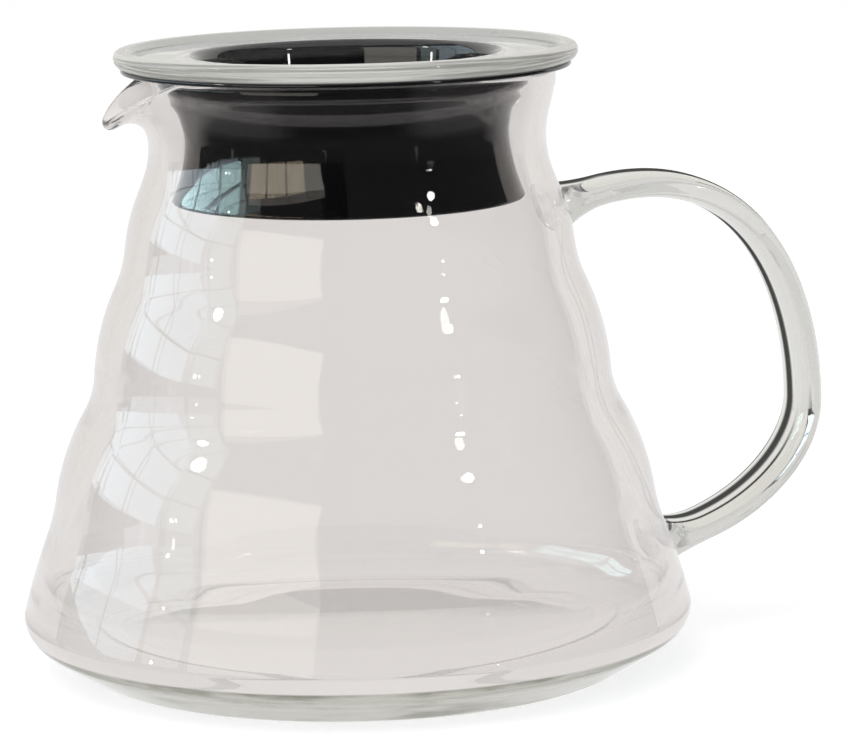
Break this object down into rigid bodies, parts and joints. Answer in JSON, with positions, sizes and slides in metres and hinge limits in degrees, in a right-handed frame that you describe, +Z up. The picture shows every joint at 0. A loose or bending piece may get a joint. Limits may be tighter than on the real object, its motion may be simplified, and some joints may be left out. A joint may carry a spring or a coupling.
{
  "type": "coffee server carafe",
  "caption": "Waved clear glass coffee server with a drawn pouring spout, a glass strap handle and a lift-off glass lid on a black flanged sleeve.",
  "frame": {"origin": "centre of the foot ring, on the surface that the server stands on", "axes": "+Z up along the jug's axis, +X from the axis towards the handle, so the spout points along -X"},
  "size_m": [0.1595, 0.13, 0.1201],
  "materials": {
    "blown_glass": "clear, fire polished",
    "handle_glass": "clear, fire polished",
    "pressed_glass": "clear, pressed, with a faint green edge",
    "black_plastic": "glossy black"
  },
  "bodies": {
    "server": {"server_body": "blown_glass", "handle": "handle_glass"},
    "lid": {"lid_glass": "pressed_glass", "lid_sleeve": "black_plastic"}
  },
  "joints": [
    {"name": "lid_lift", "type": "slide", "parent": "server", "child": "lid", "axis": [0, 0, 1], "range_m": [0, 0.06]}
  ]
}
